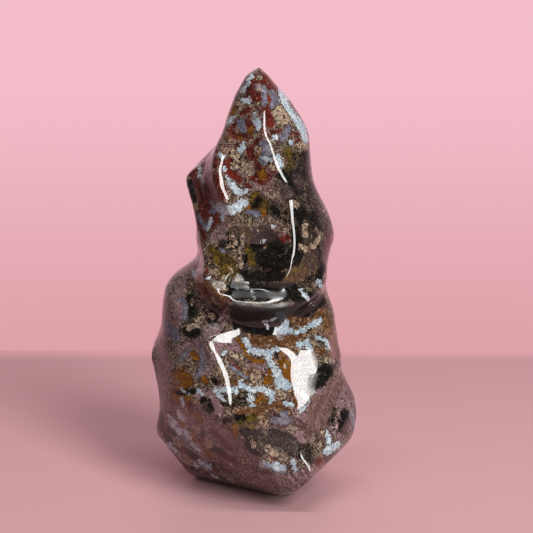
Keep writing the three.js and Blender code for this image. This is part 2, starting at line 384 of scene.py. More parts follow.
ZONES["red"] = [
    (6, (264, 79), (271, 83), (276, 91)), (5, (256, 80), (252, 88), (250, 95), (258, 97)),
    (2.8, (281, 91), (297, 106), (306, 121), (311, 138)), (3, (243, 113), (257, 103)),
    (3, (268, 97), (270, 99)), (4.4, (266, 107), (270, 115), (269, 123)),
    (3, (232, 127), (238, 122), (246, 122), (250, 127)), (3, (230, 131), (235, 136), (246, 136)),
    (4, (256, 137), (257, 146), (250, 151)), (3, (247, 148), (250, 155), (257, 160), (259, 169)),
    (4.4, (222, 164), (231, 161), (228, 170), (238, 178)), (4, (253, 176), (262, 181), (269, 177)),
    (5.2, (200, 165), (214, 161), (210, 171), (194, 174)),
    (8, (200, 181), (206, 190), (208, 202), (202, 214)), (4, (216, 178), (223, 188), (221, 197)),
    (4, (215, 216), (211, 226)), (2.8, (196, 220), (203, 231), (204, 239)),
    (2.4, (273, 132), (280, 131)), (1.4, (289, 133), (299, 134)), (3.2, (299, 142), (308, 149)),
    (4, (270, 165), (273, 171)), (3, (319, 217), (329, 236), (327, 256)), (2, (323, 259), (324, 266)),
    (2.9, (158, 423), (172, 440), (184, 450), (198, 459)), (3.2, (186, 398), (190, 405)),
    (1.7, (192, 410), (190, 414)), (2.7, (200, 440), (210, 449), (224, 455), (232, 460)),
    (2.2, (212, 430), (222, 440), (232, 450)), (1.9, (214, 468), (218, 471)),
    (3.2, (319, 460), (318, 464)), (1.6, (168, 411), (171, 413)), (0.9, (239, 368), (231, 361)),
    (3.4, (279, 242), (288, 237)), (2, (246, 186), (250, 187)), (2.2, (286, 402), (291, 406)),
    (2.2, (200, 276), (206, 270)), (2, (272, 457), (276, 459)), (2, (212, 153), (216, 150)),
]
ZONES["dark"] = [
    (2.6, (243, 86), (246, 88)), (2.6, (190, 182), (192, 192), (194, 203)),
    (1.8, (210, 160), (212, 161)), (2, (236, 170), (240, 169)),
    (5.4, (306, 154), (303, 162), (306, 170)), (6.4, (294, 175), (305, 174), (312, 184), (314, 199)),
    (6, (283, 176), (290, 183), (299, 190)), (6.4, (299, 212), (306, 224), (315, 217), (324, 225)),
    (5.6, (296, 232), (298, 242), (293, 256)), (4, (300, 256), (296, 264)),
    (4, (318, 243), (322, 262), (318, 279)),
    (7.4, (256, 244), (268, 236), (278, 248), (262, 258), (270, 268), (284, 262)),
    (5.4, (246, 275), (262, 276), (278, 276)), (3.6, (244, 258), (242, 270)),
    (3.6, (259, 200), (255, 205)), (3.2, (272, 208), (279, 214)),
    (8, (232, 290), (256, 292), (286, 292)), (7.4, (289, 288), (302, 298), (318, 300), (302, 310)),
    # These two strokes along the neck under the lip are partly the stone's dark and partly painted
    # shade from the lip above.
    (7.6, (236, 311), (258, 314), (280, 312)), (7, (240, 323), (262, 329), (276, 328)),
    (5, (292, 311), (304, 307)), (4.2, (191, 298), (192, 313)), (4.6, (215, 306), (213, 322)),
    (4.6, (187, 331), (197, 333)), (1.2, (204, 300), (208, 304), (202, 312)),
    (2.4, (214, 379), (217, 382)), (4.6, (322, 369), (334, 362), (322, 382), (312, 386)),
    (3, (225, 422), (232, 418), (242, 418)), (5, (205, 402), (209, 408)),
    (4.2, (243, 431), (254, 433), (249, 446), (257, 452)), (4.6, (345, 414), (342, 430)),
    (3.3, (277, 432), (292, 438), (289, 452), (302, 456)), (2.2, (262, 440), (270, 446)),
    (2, (275, 350), (277, 356)), (1.8, (280, 376), (276, 372)), (2.6, (178, 392), (196, 391)),
    (2, (164, 346), (162, 341)), (1.6, (229, 281), (229, 279)), (2.7, (170, 428), (176, 436)),
    (2.5, (188, 452), (196, 456)), (2.4, (206, 466), (214, 464)), (2.7, (160, 414), (162, 424)),
    (1.4, (294, 118), (298, 124)), (1.4, (302, 134), (304, 140)), (3.1, (174, 450), (182, 458)),
    (2.9, (214, 448), (222, 452)), (2, (246, 436), (256, 440)), (2.2, (296, 444), (306, 452)),
    (2, (270, 430), (280, 432)), (3.4, (166, 436), (172, 446)), (3.4, (186, 462), (196, 468)),
    (2.7, (200, 432), (208, 440)), (3, (262, 434), (272, 441)), (3, (286, 436), (296, 446)),
    (2.4, (252, 448), (262, 452)),
]
ZONES["slate"] = [
    (4.6, (163, 324), (172, 331), (176, 338)), (2.4, (184, 318), (187, 303), (181, 300)),
    (2.6, (201, 346), (204, 361), (198, 376)), (2, (231, 367), (238, 373), (247, 378)),
    (3.4, (191, 447), (186, 441), (184, 434)), (3.2, (273, 420), (288, 422), (284, 414)),
    (4, (241, 123), (243, 129)), (2.4, (265, 88), (264, 104)), (3, (272, 93), (277, 101), (272, 106)),
    (5.2, (264, 145), (267, 153), (264, 160)), (2.8, (212, 203), (216, 207), (212, 212)),
    (2.4, (198, 216), (205, 228), (211, 221)), (3, (249, 212), (258, 214)),
    (2.8, (352, 413), (354, 426)), (2, (221, 249), (224, 251)), (3, (158, 402), (160, 408)),
    (2, (201, 178), (204, 181)), (3.2, (336, 446), (330, 444)), (3, (276, 470), (284, 470)),
    (3, (289, 128), (283, 139)), (2, (187, 352), (181, 361)), (3, (228, 180), (232, 184)),
    (2, (318, 186), (320, 196)), (1.8, (330, 212), (333, 224)),
]
ZONES["cream"] = [
    (6.4, (279, 112), (283, 119)), (4.6, (235, 166), (243, 163), (251, 171)),
    (4, (231, 151), (236, 156)), (1.5, (251, 106), (258, 103)), (3, (238, 103), (241, 107)),
    (3, (256, 148), (259, 150)), (2.2, (250, 142), (252, 141)), (2.2, (255, 136), (257, 135)),
    (2.2, (224, 179), (225, 182)), (2, (211, 168), (213, 170)), (3.6, (300, 145), (305, 147)),
    (2.6, (271, 167), (274, 169)), (2.4, (195, 205), (197, 209)), (3, (227, 220), (231, 224)),
    (2.8, (305, 226), (305, 235)), (3, (301, 247), (306, 249)),
    (2, (243, 236), (242, 246), (240, 256), (242, 266)), (2.6, (232, 236), (236, 244), (228, 246)),
    (3, (292, 203), (297, 205)), (2.6, (313, 247), (319, 238)), (3, (199, 320), (197, 325), (189, 328)),
    (2.6, (211, 315), (213, 318)), (2.4, (213, 299), (216, 302)), (2, (192, 301), (193, 303)),
    (1.4, (191, 282), (192, 284)), (2.8, (198, 271), (203, 270)), (1.4, (213, 283), (214, 286)),
    (4, (233, 355), (240, 358)), (3.6, (216, 368), (218, 372)), (4.4, (253, 378), (259, 379)),
    (3.4, (328, 360), (331, 361)), (2.6, (280, 391), (285, 396)), (1.2, (285, 366), (286, 367)),
    (1.2, (267.5, 427), (268.5, 427)), (2.6, (252, 443), (254, 446)), (3, (207, 437), (210, 443)),
    (3.4, (268, 449), (276, 454)), (2.2, (320, 442), (318, 451)), (1.8, (322, 431), (323, 435)),
    (1.8, (229, 478), (232, 480)), (1.2, (243, 461), (244, 463)), (1, (168, 384), (168, 387)),
    (2, (257, 78), (261, 77)), (2, (173, 356), (170, 354)), (2.7, (179, 455), (190, 464)),
    (1.6, (224, 275), (223, 283), (226, 289)), (1.4, (232, 271), (230, 268)),
    (2.5, (183, 458), (186, 462)), (1.3, (164, 392), (165, 396)), (3.1, (176, 440), (179, 444)),
    (2.9, (205, 444), (209, 447)), (2.7, (194, 428), (198, 431)),
]
ZONES["lace"] = [
    (5.4, (226, 401), (244, 402)), (5.4, (296, 158), (301, 164)), (4.4, (297, 178), (304, 186)),
    (4.4, (311, 229), (307, 222)), (4.6, (317, 252), (312, 256)), (4.4, (284, 193), (290, 198)),
    (3.6, (284, 214), (287, 220)), (4, (230, 246), (222, 243)), (4, (318, 338), (326, 342)),
    (4, (304, 452), (311, 459)), (2.6, (208, 401), (204, 407)), (4, (240, 158), (244, 160)),
    (3, (334, 410), (331, 422)), (6, (264, 436), (284, 444), (300, 450)), (4, (250, 440), (262, 452)),
    (4.4, (308, 168), (312, 178)), (4.6, (313, 194), (318, 208)), (4, (322, 216), (328, 232)),
    (4, (306, 260), (313, 270)), (3.4, (322, 244), (326, 262)),
]
ZONES["blue"] = [
    (3.4, (281, 92), (285, 102), (290, 112)), (3.2, (290, 112), (298, 121), (303, 131), (306, 140)),
    (1.8, (252, 75), (247, 84), (243, 91)), (3, (244, 102), (248, 100)), (2.6, (232, 118), (228, 123)),
    (3.2, (256, 121), (258, 127)), (1.3, (254, 113), (254, 115)), (3, (240, 152), (243, 146)),
    (2.6, (221, 155), (223, 158)), (1.7, (224, 168), (225, 171)), (2, (200, 167), (200, 175)),
    (2.8, (278, 157), (281, 165)), (2, (263, 157), (270, 160)), (2.2, (273, 139), (277, 137)),
    (1.8, (290, 142), (292, 143)), (3, (232, 185), (237, 192), (244, 192)),
    (4.6, (220, 207), (228, 211), (238, 207), (243, 203)), (2.6, (222, 214), (224, 218)),
    (1.6, (207, 229), (212, 219)), (1.6, (272, 227), (274, 226)), (0.9, (263, 241), (263, 242)),
    (2, (318, 281), (324, 288)), (1.2, (301, 291), (306, 297), (311, 303)),
    (1.3, (274, 319), (265, 323), (268, 327)), (3, (287, 323), (281, 331), (290, 331)),
    (2.6, (296, 333), (305, 328), (320, 321)), (1.8, (316, 337), (326, 341), (329, 348)),
    (3, (300, 345), (307, 342), (310, 350)), (2.6, (245, 339), (249, 347)),
    (3.2, (250, 351), (267, 353), (272, 365)), (2.2, (268, 354), (277, 349)),
    (4, (275, 371), (281, 380), (288, 386)), (3.6, (276, 381), (283, 385), (279, 391)),
    (2.8, (303, 394), (307, 400)), (3, (216, 389), (226, 390), (235, 391)),
    (3, (241, 384), (252, 390), (262, 389), (272, 394), (271, 401)), (2.8, (250, 395), (253, 405)),
    (2, (218, 395), (224, 400)), (2.2, (284, 403), (291, 405)), (2, (302, 411), (304, 407)),
    (3.4, (262, 464), (273, 466), (282, 468)), (2.4, (293, 462), (295, 470)),
    (3.6, (327, 451), (338, 445)), (2, (327, 432), (329, 442)), (0.9, (180, 388), (188, 394)),
    (1.6, (182, 399), (184, 406)), (1.8, (178, 412), (184, 421)), (1.7, (169, 416), (175, 424)),
    (2.4, (189, 462), (197, 466)), (1.6, (213, 476), (217, 477)), (1, (194, 269), (194, 276)),
    (1.2, (206, 277), (208, 278)), (2, (223, 353), (226, 352)), (1.3, (198, 258), (198, 260)),
    (1, (252, 291), (253, 292)), (1, (253, 296), (254, 296)), (1.4, (226, 176), (229, 183)),
    (1.6, (199, 391), (202, 394)), (2.2, (168, 444), (176, 452)), (1.9, (192, 444), (198, 450)),
    (2.5, (172, 424), (180, 432)), (2.4, (200, 462), (210, 468)), (2.2, (184, 430), (190, 438)),
]
ZONES["grey_ground"] = [
    (9, (214, 228), (226, 238), (242, 224), (252, 212)), (9, (290, 148), (302, 156), (310, 150)),
    (4, (302, 186), (312, 190)), (3.6, (318, 206), (322, 232), (318, 258)), (7, (294, 296), (318, 292)),
    (7, (250, 306), (280, 310)), (8, (232, 398), (256, 394)), (5, (262, 442), (284, 446), (302, 438)),
    (7, (205, 296), (196, 290)), (6, (206, 400), (210, 408)), (7, (322, 344), (330, 372)),
    (5, (238, 96), (232, 112)), (4, (244, 84), (248, 90)),
]
# Partly the stone's lilac and partly painted light: the shaded low left painted paler for the floor's
# glow on it.
ZONES["lilac_and_floor_glow"] = [
    (14, (162, 424), (182, 446), (204, 462)), (8, (160, 400), (166, 414)),
    (10, (200, 470), (224, 474), (240, 484)), (6, (172, 300), (174, 322)),
    (8, (338, 384), (330, 404), (338, 430)),
]
# Partly painted reflection: pale streaks for the pink floor's glint on the low left facets, and the
# pale band along its ridge from (196, 408).
ZONES["hem"] = [
    (3.4, (196, 408), (206, 418), (218, 429), (230, 438), (243, 450), (254, 462)),
    (3, (178, 452), (190, 463), (204, 468)), (3.4, (206, 440), (222, 455), (234, 468)),
    (6, (238, 470), (262, 481), (296, 480), (322, 466)), (3, (172, 404), (184, 416), (196, 428)),
    (2.6, (214, 430), (226, 446)), (2.6, (164, 426), (176, 442), (190, 454)),
    (2.4, (180, 464), (196, 474), (214, 480)), (2.4, (196, 432), (212, 446), (228, 456)),
]
ZONES["flow"] = [
    (9, (339, 370), (334, 388), (324, 408)), (7, (312, 404), (318, 422), (326, 436)),
    (4, (346, 374), (351, 396)), (3, (334, 236), (336, 262)), (3, (333, 290), (338, 312)),
]
ZONES["dull"] = [
    (3.4, (236, 294), (262, 295), (284, 294)), (3.6, (211, 283), (222, 286)),
    (3.6, (233, 277), (240, 278)), (3.6, (234, 284), (245, 286)), (3.6, (255, 87), (264, 88)),
    (3.6, (280, 325), (281, 337)), (3, (212, 325), (222, 328)), (9, (236, 311), (278, 313), (296, 309)),
]
ZONES["worn"] = [
    (8, (318, 342), (321, 360)), (5, (314, 378), (309, 394)), (4, (232, 207), (240, 204)),
]

PHOTO_MIDDLE = 266.5  # the photo's middle, in its points
PHOTO_FOCUS = 1000  # the lens's focal length, in the photo's points
PHOTO_POINT_MM = 0.328  # how large one of its points is on the stone
CAMERA_PITCH = math.radians(7)  # how far the camera looks down
EDGE_ON = (0.04, 0.2)  # how squarely the skin faces the camera where the drawn zones fade out
FAR_MM = 6.0  # beyond this a zone is no longer felt


def photo_places():
    """Where each point of the skin is seen on the photo, and how much what is drawn there counts."""
    flat = skin.reshape(-1, 3)
    ahead = np.array([0, math.cos(CAMERA_PITCH), -math.sin(CAMERA_PITCH)])
    upwards = np.array([0, math.sin(CAMERA_PITCH), math.cos(CAMERA_PITCH)])
    from_eye = flat - np.array(CAMERA_PLACE)
    scale = PHOTO_FOCUS / (from_eye @ ahead)
    right = PHOTO_MIDDLE + scale * from_eye[:, 0]
    down = PHOTO_MIDDLE - scale * (from_eye @ upwards)
    along = np.roll(skin, -1, axis=1) - np.roll(skin, 1, axis=1)
    rise = np.gradient(skin, axis=0)
    normal = np.cross(along, rise).reshape(-1, 3)
    lengths = np.linalg.norm(normal, axis=1) * np.linalg.norm(from_eye, axis=1)
    facing = -(normal * from_eye).sum(1) / np.maximum(lengths, TINY)
    low, high = EDGE_ON
    return np.stack([right, down], -1), np.clip((facing - low) / (high - low), 0, 1)


def depth_in(points, strokes, unit_mm):
    """How deep each point lies inside the nearest stroke, in millimetres."""
    depth = np.full(len(points), -FAR_MM)
    for half_width, *path in strokes:
        path = np.array(path, float)
        for start, end in zip(path, path[1:]):
            apart = off_piece(points, start, end)[1]
            depth = np.maximum(depth, unit_mm * (half_width - apart))
    return depth


WILD_SEED = 11
WILD_BENDS = 2  # how many more points a wild stroke has after its first
WILD_BEND = (9, 6)  # how far apart two of them are at most: in azimuth, and in height
WILD_START_MM = (0, 136)  # the heights at which wild strokes start
WILD_REACH_MM = (0, 138)  # and those between which they stay
WILD_WIDTHS = (0.5, 1.4)  # their half widths, as shares of the middling one


def wild_strokes(dice, count, half_width):
    """Short bent strokes anywhere round the stone, for the sides that the drawing doesn't reach."""
    turn, climb = WILD_BEND
    strokes = []
    for _ in range(count):
        azimuth, height = dice.uniform(0, 360), dice.uniform(*WILD_START_MM)
        width = half_width * dice.uniform(*WILD_WIDTHS)
        path = [place(azimuth, height) / MM]
        for _ in range(WILD_BENDS):
            azimuth += dice.uniform(-1, 1) * turn
            height = float(np.clip(height + dice.uniform(-1, 1) * climb, *WILD_REACH_MM))
            path.append(place(azimuth, height) / MM)
        strokes.append((width, *path))
    return strokes


# How many wild strokes each kind of zone has, and their middling half width in millimetres.
WILD = {
    "red_ground": (26, 5.0),
    "dark_ground": (34, 5.0),
    "brown_ground": (26, 4.5),
    "grey_ground": (22, 4.5),
    "lilac_and_floor_glow": (8, 4.0),
    "mauve": (30, 2.6),
    "earth": (20, 2.6),
    "rust": (28, 2.4),
    "olive": (18, 2.0),
    "ochre": (34, 1.5),
    "red": (60, 1.8),
    "slate": (34, 1.3),
    "dark": (60, 2.0),
    "lace": (24, 2.0),
    "blue": (84, 1.1),
    "cream": (60, 1.1),
    "hem": (6, 2.4),
    "flow": (6, 2.4),
}


def zone_depths():
    """For each kind of zone, how deep each point of the skin lies in its zones, in millimetres."""
    dice = np.random.default_rng(WILD_SEED)
    seen, drawn = photo_places()
    flat = skin.reshape(-1, 3) / MM
    depths = {}
    for kind, strokes in ZONES.items():
        wild = depth_in(flat, wild_strokes(dice, *WILD.get(kind, (0, 0))), 1)
        front = depth_in(seen, strokes, PHOTO_POINT_MM)
        depths[kind] = drawn * front + (1 - drawn) * wild
    return depths


def put_depths(mesh):
    """Each kind of zone's depths as a value at each point of the mesh."""
    for kind, depths in zone_depths().items():
        rows = depths.reshape(LEVELS, COLUMNS)
        foot = [rows[0, :1]] + [rows[0]] * FOOT_RINGS
        values = np.concatenate(foot + [rows[1:-1].ravel(), rows[-1, :1]])
        mesh.attributes.new(kind, "FLOAT", "POINT").data.foreach_set("value", values)


# ---- Stone: its colours ----

ALBEDO = 0.84  # what is left of a photographed colour once the studio's light is taken out


def srgb(red, green, blue):
    """A colour given as screen values up to 255, as the light that the shaders count in."""
    screen = np.array([red, green, blue]) / 255
    light = np.where(screen <= 0.04045, screen / 12.92, ((screen + 0.055) / 1.055) ** 2.4)
    return (*(ALBEDO * light).tolist(), 1)


# What lies under the minerals: its pale, deep and fleck colours, and its ribbons' fill and rim.
GROUNDS = {
    "ground": ((122, 104, 95), (72, 57, 48), (166, 148, 128), (88, 72, 63), (36, 27, 22)),
    "red_ground": ((110, 42, 31), (72, 27, 20), (150, 120, 104), (122, 106, 104), (66, 34, 28)),
    "dark_ground": ((31, 29, 24), (9, 9, 8), (80, 73, 59), (54, 49, 40), (11, 10, 9)),
    "brown_ground": ((108, 73, 40), (52, 35, 20), (170, 140, 106), (138, 116, 104), (44, 30, 20)),
    # The lilac ground is partly the stone's own and partly painted light, paler for the floor's glow on
    # the shaded low left.
    "lilac_and_floor_glow": ((176, 148, 150), (64, 43, 41), (190, 164, 158), (134, 106, 108), (36, 23, 22)),
    "grey_ground": ((90, 85, 66), (32, 30, 22), (146, 134, 110), (80, 75, 60), (20, 19, 15)),
}

# Pale, deep, fleck and rim of each mineral, and how ragged its edges are in millimetres. Cream's
# fleck is the heart of its islands, and lace's is the knots of its net.
LOOKS = {
    "earth": ((100, 74, 70), (62, 44, 41), (150, 126, 112), None, 4.0),
    "rust": ((124, 84, 46), (78, 50, 27), (176, 146, 112), None, 4.0),
    "mauve": ((150, 126, 128), (116, 92, 94), (190, 168, 156), None, 4.0),
    # The hem's pale colours are partly the stone's and partly a painted reflection of the pink floor on
    # the low left facets.
    "hem": ((150, 121, 122), (64, 43, 40), (186, 160, 158), None, 4.0),
    "flow": ((132, 103, 98), (74, 54, 49), (160, 134, 126), None, 4.0),
    "red": ((104, 38, 29), (58, 24, 19), (150, 120, 104), (118, 96, 88), 3.4),
    "olive": ((98, 80, 30), (46, 40, 20), (140, 104, 40), (34, 30, 20), 3.4),
    "ochre": ((132, 86, 24), (98, 62, 18), (60, 38, 18), (62, 44, 32), 2.4),
    "slate": ((126, 126, 138), (84, 86, 98), (60, 52, 52), (70, 58, 56), 2.8),
    "dark": ((26, 25, 21), (8, 8, 7), (76, 70, 57), None, 4.0),
    "lace": ((74, 66, 52), (11, 10, 8), (122, 107, 87), None, 3.6),
    "blue": ((196, 211, 216), (146, 164, 176), (92, 76, 62), (84, 70, 62), 4.0),
    "cream": ((180, 162, 138), (136, 118, 96), (30, 24, 20), (30, 24, 20), 2.6),
}

# ---- Stone: its patterns ----

# Each pattern's noise: the size of its lumps in millimetres, its shift to a place of its own, how
# many finer layers it has, how strong they are, and how far it swirls.
NOISES = {
    "sway": {"size": 3.4},
    "mottle": {"size": 2.2, "shift": 7.0, "layers": 5.0},
    "grain": {"size": 0.7, "shift": 3.0, "layers": 3.0},
    "ragged": {"size": 1.7, "layers": 5.0, "coarse": 0.7},
    "threads": {"size": 0.6, "shift": 97.0, "layers": 5.0, "coarse": 0.7},
    "wide_ribbons": {"size": 3.2, "shift": 41.0, "layers": 2.5, "swirl": 0.8},
    "narrow_ribbons": {"size": 2.0, "shift": 53.0, "layers": 2.5, "swirl": 0.8},
    "squiggles": {"size": 2.8, "shift": 31.0, "swirl": 0.6},
    "seams": {"size": 1.5, "shift": 61.0, "layers": 3.5, "coarse": 0.65, "swirl": 0.5},
    "islands": {"size": 1.35, "shift": 71.0, "swirl": 0.5},
    "net": {"size": 1.1, "shift": 83.0, "layers": 3.0, "swirl": 0.8},
}
NOISE_MIDDLE = 0.5  # the value round which a noise varies
SWAY_MM = 3.0  # how strongly the patterns are bent
FIRST_SHIFT, NEXT_SHIFT = 11.0, 5.0  # of the ragged noise: for the first kind of zone, then each next
GRAIN_RAGGED = 0.6  # how far the grain frays an edge, as a share of what that noise does

# The Mix node has sockets for numbers and vectors too. These are the ones for colours.
MIX_SHARE, MIX_FIRST, MIX_SECOND, MIX_RESULT = 0, 6, 7, 2


class Graph:
    """Shader nodes of one material or of the world, made with a call each.

    A ramp's pair is the value where it is 0 and the value where it is 1, so the first one is the
    larger where the ramp falls.
    """

    def __init__(self, tree):
        self.tree = tree

    def link(self, value, socket):
        self.tree.links.new(value, socket)

    def add(self, kind, inputs, **settings):
        made = self.tree.nodes.new("ShaderNode" + kind)
        for name, value in settings.items():
            setattr(made, name, value)
        for name, value in inputs.items():
            if isinstance(value, bpy.types.NodeSocket):
                self.link(value, made.inputs[name])
            else:
                made.inputs[name].default_value = value
        return made.outputs

    def math(self, operation, first, second=0.0):
        return self.add("Math", {0: first, 1: second}, operation=operation)[0]

    def times(self, first, second):
        return self.math("MULTIPLY", first, second)

    def vector(self, operation, first, second):
        return self.add("VectorMath", {0: first, 1: second}, operation=operation)[0]

    def ramp(self, value, pair):
        inputs = {"Value": value, "From Min": pair[0], "From Max": pair[1]}
        return self.add("MapRange", inputs, interpolation_type="SMOOTHSTEP")["Result"]

    def edge(self, depth, half_width):
        """0 outside a zone and 1 inside it, blurred this far each way."""
        return self.ramp(depth, (-half_width, half_width))

    def noise(self, where, size, shift=0.0, layers=2.0, coarse=0.58, swirl=0.0, output="Fac"):
        if shift:
            where = self.vector("ADD", where, (shift, -2 * shift, 3 * shift))
        inputs = {"Vector": where, "Scale": 1 / size, "Detail": layers}
        inputs.update({"Roughness": coarse, "Distortion": swirl})
        return self.add("TexNoise", inputs)[output]

    def apart(self, value, level):
        """How far a value is from a level, either way."""
        return self.math("ABSOLUTE", self.math("SUBTRACT", value, level))

    def mix(self, share, first, second, blend="MIX"):
        inputs = {MIX_SHARE: share, MIX_FIRST: first, MIX_SECOND: second}
        return self.add("Mix", inputs, data_type="RGBA", blend_type=blend)[MIX_RESULT]

    def blend(self, value, pair, first, second):
        """A colour that turns from the first to the second as a ramp does."""
        return self.mix(self.ramp(value, pair), first, second)


def new_material(name, graph_kind):
    """A new material, its graph and its shader."""
    material = bpy.data.materials.new(name)
    material.use_nodes = True
    tree = material.node_tree
    return material, graph_kind(tree), tree.nodes["Principled BSDF"]


class Stone(Graph):
    """The jasper's nodes, with what all its patterns share."""

    def __init__(self, tree):
        super().__init__(tree)
        spot = self.vector("MULTIPLY", self.add("TexCoord", {})["Object"], (1 / MM,) * 3)
        sway = self.noise(spot, output="Color", **NOISES["sway"])
        sway = self.vector("SUBTRACT", sway, (NOISE_MIDDLE,) * 3)
        self.bent = self.vector("ADD", spot, self.vector("MULTIPLY", sway, (SWAY_MM,) * 3))
        self.mottle = self.pattern("mottle")
        self.grain = self.noise(spot, **NOISES["grain"])

    def pattern(self, name):
        return self.noise(self.bent, **NOISES[name])

    def attribute(self, name):
        return self.add("Attribute", {}, attribute_name=name)["Fac"]

    def depth(self, kind, ragged):
        """How deep a point lies in a kind of zone, in millimetres, with ragged edges."""
        shift = FIRST_SHIFT + NEXT_SHIFT * list(ZONES).index(kind)
        noise = self.noise(self.bent, shift=shift, **NOISES["ragged"])
        coarse = self.times(self.math("SUBTRACT", noise, NOISE_MIDDLE), ragged)
        fine = self.times(self.math("SUBTRACT", self.grain, NOISE_MIDDLE), GRAIN_RAGGED * ragged)
        return self.math("ADD", self.math("ADD", self.attribute(kind), fine), coarse)


BLOT_SHARES = (0.65, 0.35)  # of the mottle and of the grain in the blots
BLOT_RAMP = (0.42, 0.58)  # from deep to pale
FLECK_RAMP = (0.635, 0.67)  # what the grain is where flecks start, and where they are full
GROUND_FLECK_RAMP = (0.64, 0.67)


def blotted(stone, deep, pale):
    """Blots of two sizes, from deep to pale."""
    coarse, fine = map(stone.times, (stone.mottle, stone.grain), BLOT_SHARES)
    return stone.blend(stone.math("ADD", coarse, fine), BLOT_RAMP, deep, pale)


def mottled(stone, pale, deep, fleck):
    """The fill of most minerals: blots with small flecks."""
    fill = blotted(stone, srgb(*deep), srgb(*pale))
    return stone.blend(stone.grain, FLECK_RAMP, fill, srgb(*fleck))


STREAKS = {"hem": -45, "flow": 15}  # how far each mineral's streaks lean to the right, in degrees
STREAK_LENGTH = 5  # how many times longer a streak is than it is wide
THREAD_RAMP = (0.36, 0.64)  # from deep to pale
THREAD_FLECK_RAMP = (0.6, 0.66)


def streaked(stone, lean, pale, deep, fleck):
    """A fill that is drawn out into long streaks."""
    inputs = {"Vector": stone.bent, "Angle": math.radians(-lean)}
    upright = stone.add("VectorRotate", inputs, rotation_type="Y_AXIS")[0]
    drawn_out = stone.vector("MULTIPLY", upright, (1, 1, 1 / STREAK_LENGTH))
    threads = stone.noise(drawn_out, **NOISES["threads"])
    fill = stone.blend(threads, THREAD_RAMP, srgb(*deep), srgb(*pale))
    return stone.blend(threads, THREAD_FLECK_RAMP, fill, srgb(*fleck))


HEART_RAMP = (0.62, 0.65)  # what the islands' noise is in their hearts,
OUTLINE_RAMP = (0.47, 0.445)  # in their outlines
GAP_RAMP = (0.42, 0.395)  # and in the gaps between them


def islands(stone):
    """Cream islands with dark outlines, and some with a dark heart."""
    pale, deep, heart, outline = (srgb(*shade) for shade in LOOKS["cream"][:4])
    hills = stone.pattern("islands")
    fill = stone.blend(stone.grain, BLOT_RAMP, deep, pale)
    fill = stone.blend(hills, HEART_RAMP, fill, heart)
    fill = stone.blend(hills, OUTLINE_RAMP, fill, outline)
    return stone.blend(hills, GAP_RAMP, fill, srgb(*GROUNDS["ground"][0]))


NET_RAMP = (0.045, 0.02)  # how far its noise is from its middle where a thread starts, and is full
KNOT_RAMP = (0.45, 0.6)  # what the mottle is where threads turn to knots


def lacework(stone):
    """Thin pale rings and threads over dark."""
    pale, deep, knot = (srgb(*shade) for shade in LOOKS["lace"][:3])
    apart = stone.apart(stone.pattern("net"), NOISE_MIDDLE)
    net = stone.blend(stone.mottle, KNOT_RAMP, pale, knot)
    return stone.blend(apart, NET_RAMP, deep, net)


GROUND_RAGGED_MM = 6.0
GROUND_EDGE_MM = 0.3  # half of how far the edge of a patch of ground is blurred
# Each of the ground's ribbons: its noise, the level that it follows there, and its half width.
RIBBONS = (("wide_ribbons", 0.5, 0.045), ("narrow_ribbons", 0.57, 0.06))
RIBBON_RIM = (0.035, 0.015)  # how far beyond that half width its dark rim starts, and is full
RIBBON_EDGE = 0.012  # how far inside it the fill is full
RIBBON_SPOTS = (0.4, 0.6)  # what the grain is where the fill turns to flecks


def grounds(stone):
    """The ground under the minerals, crossed by winding ribbons with dark rims, and spotted."""
    shades = [srgb(*shade) for shade in GROUNDS["ground"]]
    for kind in list(GROUNDS)[1:]:
        there = stone.edge(stone.depth(kind, GROUND_RAGGED_MM), GROUND_EDGE_MM)
        pairs = zip(shades, GROUNDS[kind])
        shades = [stone.mix(there, under, srgb(*over)) for under, over in pairs]
    pale, deep, fleck, ribbon, rim = shades
    colour = blotted(stone, deep, pale)
    for name, level, width in RIBBONS:
        apart = stone.apart(stone.pattern(name), level)
        colour = stone.blend(apart, [width + beyond for beyond in RIBBON_RIM], colour, rim)
        fill = stone.blend(stone.grain, RIBBON_SPOTS, ribbon, fleck)
        colour = stone.blend(apart, (width, width - RIBBON_EDGE), colour, fill)
    return stone.blend(stone.grain, GROUND_FLECK_RAMP, colour, fleck)


# Each of the squiggles' lines: the level of their noise that it follows, its half width, its colour.
SQUIGGLES = ((0.5, 0.026, (46, 34, 31)), (0.56, 0.014, (148, 132, 114)), (0.42, 0.022, (58, 43, 38)))
SQUIGGLE_CORE = 0.4  # the share of that half width within which a line is full
SQUIGGLE_RAMP = (0.44, 0.5)  # what the mottle is where there are any


def squiggles(stone, colour):
    """Dark lines that wander and close on themselves, as on a map, with pale ones beside them."""
    hills = stone.pattern("squiggles")
    for level, width, shade in SQUIGGLES:
        line = stone.ramp(stone.apart(hills, level), (width, SQUIGGLE_CORE * width))
        there = stone.times(line, stone.ramp(stone.mottle, SQUIGGLE_RAMP))
        colour = stone.mix(there, colour, srgb(*shade))
    return colour


SEAM = (0.16, 0.12, 0.10, 1)  # how much of each of its colours the stone keeps in a seam
SEAM_LINE = (0.034, 0.012)  # how far their noise is from its middle where one starts, and is full
SEAM_RAMP = (0.38, 0.48)  # what the mottle is where there are any
SEAM_STRENGTH = 0.85


def seams(stone, colour):
    """Fine dark seams between the grains, here and there."""
    apart = stone.apart(stone.pattern("seams"), NOISE_MIDDLE)
    there = stone.times(stone.ramp(apart, SEAM_LINE), stone.ramp(stone.mottle, SEAM_RAMP))
    return stone.mix(stone.times(there, SEAM_STRENGTH), colour, SEAM, blend="MULTIPLY")


RIMMED_EDGE_MM = 0.07  # half of how far a zone's edge is blurred where it has a rim
BARE_EDGE_MM = 0.21  # and where it has none
RIM_RAMP_MM = (0.2, 0.08)  # how far from the edge the thin rim starts, and is full


